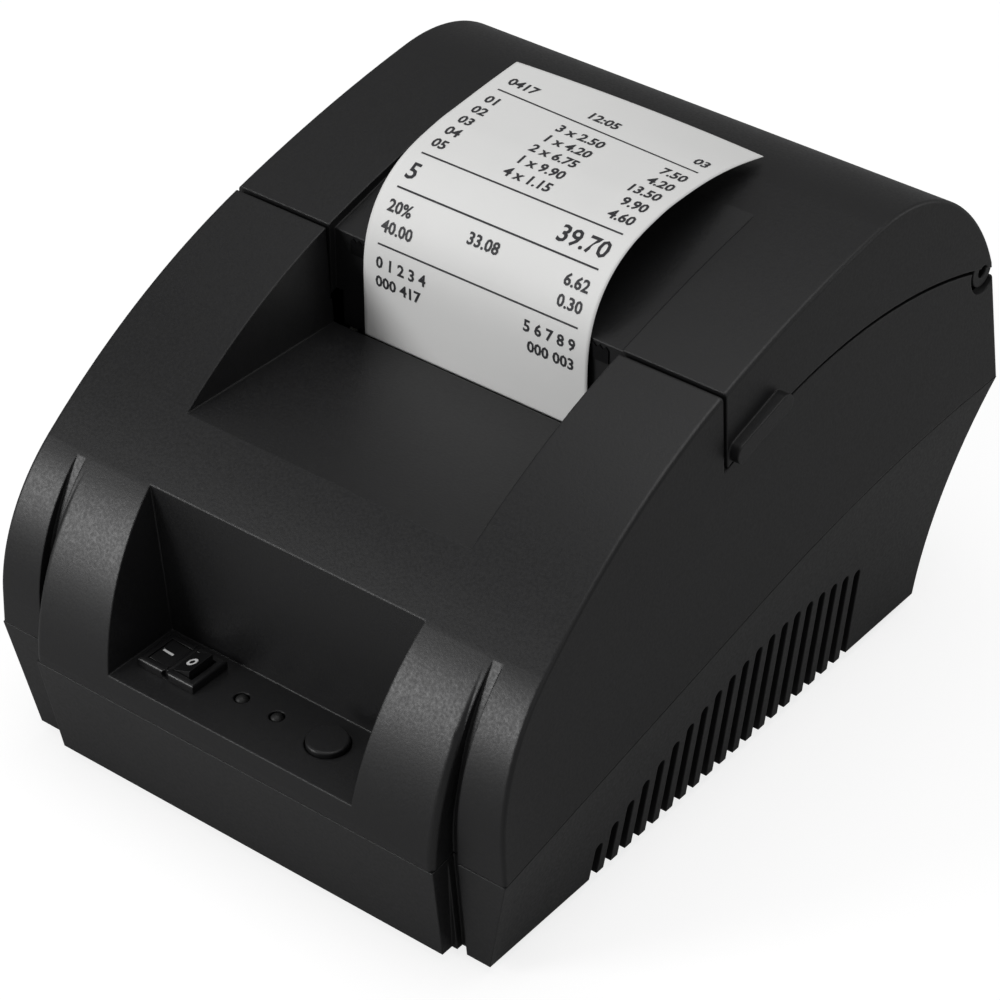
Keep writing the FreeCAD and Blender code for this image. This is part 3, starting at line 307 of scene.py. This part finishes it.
# Print on the receipt: plain numbers and rules, as distances from the tip
printLook = {"lift": 0.00012, "height": 0.0036, "totalHeight": 0.0056, "weight": 0.00010, "left": -0.0255,
             "middle": -0.0010, "right": 0.0255, "ruleHalf": 0.0255, "ruleWidth": 0.0004, "ruleSteps": 41}
inkLook = {"colour": (0.022, 0.022, 0.026), "fade": 0.0006, "fadeDetail": 2.0, "shade": 0.35, "rough": 0.6}
printRows = [
    ("row", 0.0120, "0417", "12:05", "03"),
    ("rule", 0.0150),
    ("row", 0.0200, "01", "3 x 2.50", "7.50"),
    ("row", 0.0244, "02", "1 x 4.20", "4.20"),
    ("row", 0.0288, "03", "2 x 6.75", "13.50"),
    ("row", 0.0332, "04", "1 x 9.90", "9.90"),
    ("row", 0.0376, "05", "4 x 1.15", "4.60"),
    ("rule", 0.0404),
    ("total", 0.0468, "5", "", "39.70"),
    ("rule", 0.0494),
    ("row", 0.0544, "20%", "33.08", "6.62"),
    ("row", 0.0588, "40.00", "", "0.30"),
    ("rule", 0.0618),
    ("row", 0.0668, "0 1 2 3 4", "", "5 6 7 8 9"),
    ("row", 0.0712, "000 417", "", "000 003"),
]


def flatText(words, size, align, weight):
    # Points and faces of the words as a flat mesh at the origin
    curve = bpy.data.curves.new("flatText", "FONT")
    curve.body = words
    curve.size = size
    curve.align_x = align
    curve.resolution_u = 2
    curve.offset = weight
    holder = bpy.data.objects.new("flatText", curve)
    bpy.context.scene.collection.objects.link(holder)
    bpy.context.view_layer.update()
    mesh = bpy.data.meshes.new_from_object(holder.evaluated_get(bpy.context.evaluated_depsgraph_get()))
    spots = np.empty(len(mesh.vertices) * 3)
    mesh.vertices.foreach_get("co", spots)
    faces = [tuple(polygon.vertices) for polygon in mesh.polygons]
    bpy.data.objects.remove(holder)
    bpy.data.meshes.remove(mesh)
    bpy.data.curves.remove(curve)
    return spots.reshape(-1, 3), faces


def buildPrint(look, rows, paper):
    spots = []
    faces = []
    start = 0

    def put(flat, polygons, across, along):
        nonlocal start
        spots.append(np.stack([flat[:, 0] + across, flat[:, 1] + paper["length"] - along], axis=1))
        faces.extend(tuple(index + start for index in polygon) for polygon in polygons)
        start += len(flat)

    x = np.linspace(-look["ruleHalf"], look["ruleHalf"], look["ruleSteps"])
    lowEdge = np.stack([x, np.zeros_like(x), np.zeros_like(x)], axis=1)
    rule = np.concatenate([lowEdge, lowEdge + np.array([0.0, look["ruleWidth"], 0.0])])
    ruleFaces = gridFaces(2, look["ruleSteps"]).tolist()
    columns = (("left", "LEFT"), ("middle", "CENTER"), ("right", "RIGHT"))
    for kind, along, *cells in rows:
        if kind == "rule":
            put(rule, ruleFaces, 0.0, along)
        size = look["totalHeight"] if kind == "total" else look["height"]
        for words, (across, align) in zip(cells, columns):
            if words:
                flat, polygons = flatText(words, size, align, look["weight"])
                put(flat, polygons, look[across], along)
    flat = np.concatenate(spots)
    placed = onReceipt(paper, receiptPoints, receiptNormals, flat[:, 0], flat[:, 1], look["lift"])
    piece = meshObject("receiptPrint", placed, faces, inkMaterial("receiptInk", inkLook), smooth=False)
    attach(piece, "lid")
    return piece


receiptPrint = buildPrint(printLook, printRows, receiptLook)
print("stage: print on the receipt")

# Marks on the rocker: a bar on the pressed half and a ring on the raised half
markLook = {"pivot": (-0.0220, -0.0778, 0.0346), "tilt": 8.0, "fold": 0.0005, "foldRise": 0.2182,
            "barX": -0.0036, "barLength": 0.0026, "barWidth": 0.0006, "ringX": 0.0030, "ringOuter": 0.00125,
            "ringInner": 0.00065, "lift": 0.00004, "steps": 48}
markInk = {"colour": (0.72, 0.72, 0.72), "fade": 0.0004, "fadeDetail": 2.0, "shade": 0.06, "rough": 0.5}


def onPaddle(look, x, y):
    # Height of the paddle's two leaves over its pivot, then a turn about the pivot's Y axis.
    z = look["fold"] + look["foldRise"] * np.abs(x) + look["lift"]
    turn = math.radians(look["tilt"])
    outX = x * math.cos(turn) - z * math.sin(turn) + look["pivot"][0]
    outZ = x * math.sin(turn) + z * math.cos(turn) + look["pivot"][2]
    return np.stack([outX, y + look["pivot"][1], outZ], axis=1)


def buildMarks(look):
    # The bar is one quad. The ring is the band between two radii, with its quads closed round the turn.
    material = inkMaterial("markWhite", markInk)
    barX = look["barX"] + 0.5 * look["barLength"] * np.array([-1.0, 1.0, 1.0, -1.0])
    barY = 0.5 * look["barWidth"] * np.array([-1.0, -1.0, 1.0, 1.0])
    bar = meshObject("rockerBar", onPaddle(look, barX, barY), [(0, 1, 2, 3)], material, smooth=False)
    here = np.arange(look["steps"])
    after = np.roll(here, -1)
    angle = 2.0 * np.pi * here / look["steps"]
    radius = np.array([look["ringInner"], look["ringOuter"]])[:, None]
    ringX = (look["ringX"] + radius * np.cos(angle)[None, :]).ravel()
    ringY = (radius * np.sin(angle)[None, :]).ravel()
    quads = np.stack([here + look["steps"], after + look["steps"], after, here], axis=1)
    ring = meshObject("rockerRing", onPaddle(look, ringX, ringY), quads, material, smooth=False)
    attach(bar, "rocker")
    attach(ring, "rocker")


buildMarks(markLook)
print("stage: rocker marks")

# Floor, light and camera
stageLook = {"floorColour": (0.92, 0.92, 0.92), "floorBounce": 0.44, "floorGlow": 0.62, "glowStrength": 1.27,
             "floorHalf": 4.0, "tint": 0.8, "tintDetail": 1.0, "tintShade": 0.01, "floorRough": 0.9,
             "floorSpecular": 0.1, "skyStrength": 0.22}
cameraLook = {"place": (0.367337, -0.469116, 0.477660), "azimuth": 38.1938, "elevation": 36.2744,
              "lens": 125.73, "sensor": 36.0, "clipStart": 0.01}
lightLook = {
    "overhead": {"place": (0.05, 0.10, 1.40), "aim": (0.0, 0.0, 0.05), "size": 1.3, "power": 7.5},
    "frontLeft": {"place": (-0.70, -1.10, 0.52), "aim": (0.0, -0.03, 0.05), "size": 0.55, "power": 8.5},
    "rightFill": {"place": (1.30, -0.50, 0.60), "aim": (0.0, 0.0, 0.05), "size": 0.8, "power": 1.0},
    "rearFill": {"place": (0.90, 1.20, 0.50), "aim": (0.0, 0.0, 0.05), "size": 0.8, "power": 2.0},
}


def buildFloor(look):
    # A lit floor that keeps the shadow, with a share of plain glow that only the camera and clear pieces see
    half = look["floorHalf"]
    material, tree, shader = nodeTree("floorPale")
    tint = objectNoise(tree, look["tint"], look["tintDetail"]).outputs["Fac"]
    path = tree.nodes.new("ShaderNodeLightPath")
    tone = tree.nodes.new("ShaderNodeMix")
    tone.data_type = "RGBA"
    tone.inputs[colourA].default_value = (look["floorBounce"],) * 3 + (1.0,)
    tree.links.new(shades(tree, tint, look["floorColour"], look["tintShade"]), tone.inputs[colourB])
    tree.links.new(path.outputs["Is Camera Ray"], tone.inputs[0])
    tree.links.new(tone.outputs[colourOut], shader.inputs["Base Color"])
    shader.inputs["Roughness"].default_value = look["floorRough"]
    shader.inputs["Specular IOR Level"].default_value = look["floorSpecular"]
    seen = tree.nodes.new("ShaderNodeMath")
    seen.operation = "MAXIMUM"
    tree.links.new(path.outputs["Is Camera Ray"], seen.inputs[0])
    tree.links.new(path.outputs["Is Transmission Ray"], seen.inputs[1])
    share = tree.nodes.new("ShaderNodeMath")
    share.operation = "MULTIPLY"
    share.inputs[1].default_value = look["floorGlow"]
    tree.links.new(seen.outputs[0], share.inputs[0])
    glow = tree.nodes.new("ShaderNodeEmission")
    glow.inputs["Color"].default_value = (1.0, 1.0, 1.0, 1.0)
    glow.inputs["Strength"].default_value = look["glowStrength"]
    mix = tree.nodes.new("ShaderNodeMixShader")
    tree.links.new(share.outputs[0], mix.inputs[0])
    tree.links.new(shader.outputs[0], mix.inputs[1])
    tree.links.new(glow.outputs[0], mix.inputs[2])
    tree.links.new(mix.outputs[0], tree.nodes["Material Output"].inputs["Surface"])
    corners = np.array([[-half, -half, 0.0], [half, -half, 0.0], [half, half, 0.0], [-half, half, 0.0]])
    floor = meshObject("floorPlane", corners, [(0, 1, 2, 3)], material, smooth=False)


def buildWorld(look):
    world = bpy.data.worlds.new("studioWorld")
    bpy.context.scene.world = world
    world.use_nodes = True
    tree = world.node_tree
    soft = tree.nodes["Background"]
    soft.inputs["Color"].default_value = (1.0, 1.0, 1.0, 1.0)
    soft.inputs["Strength"].default_value = look["skyStrength"]
    white = tree.nodes.new("ShaderNodeBackground")
    white.inputs["Color"].default_value = (1.0, 1.0, 1.0, 1.0)
    path = tree.nodes.new("ShaderNodeLightPath")
    mix = tree.nodes.new("ShaderNodeMixShader")
    tree.links.new(path.outputs["Is Camera Ray"], mix.inputs[0])
    tree.links.new(soft.outputs[0], mix.inputs[1])
    tree.links.new(white.outputs[0], mix.inputs[2])
    tree.links.new(mix.outputs[0], tree.nodes["World Output"].inputs["Surface"])


def buildLights(lights):
    # Soft round lamps, each turned from straight down toward its aim
    for name, look in lights.items():
        lamp = bpy.data.lights.new(name, "AREA")
        lamp.shape = "DISK"
        lamp.size = look["size"]
        lamp.energy = look["power"]
        holder = bpy.data.objects.new(name, lamp)
        place = np.array(look["place"])
        toward = np.array(look["aim"]) - place
        flat = math.hypot(toward[0], toward[1])
        holder.location = look["place"]
        holder.rotation_euler = (math.atan2(flat, -toward[2]), 0.0, math.atan2(-toward[0], toward[1]))
        bpy.context.scene.collection.objects.link(holder)


def buildCamera(look):
    lens = bpy.data.cameras.new("photoCamera")
    lens.sensor_width = look["sensor"]
    lens.lens = look["lens"]
    lens.dof.use_dof = False
    lens.clip_start = look["clipStart"]
    holder = bpy.data.objects.new("photoCamera", lens)
    holder.location = look["place"]
    holder.rotation_euler = (math.radians(90.0 - look["elevation"]), 0.0, math.radians(look["azimuth"]))
    bpy.context.scene.collection.objects.link(holder)
    bpy.context.scene.camera = holder


buildFloor(stageLook)
buildWorld(stageLook)
buildLights(lightLook)
buildCamera(cameraLook)
bpy.context.scene.view_settings.view_transform = "Standard"
print("stage: floor, light and camera")
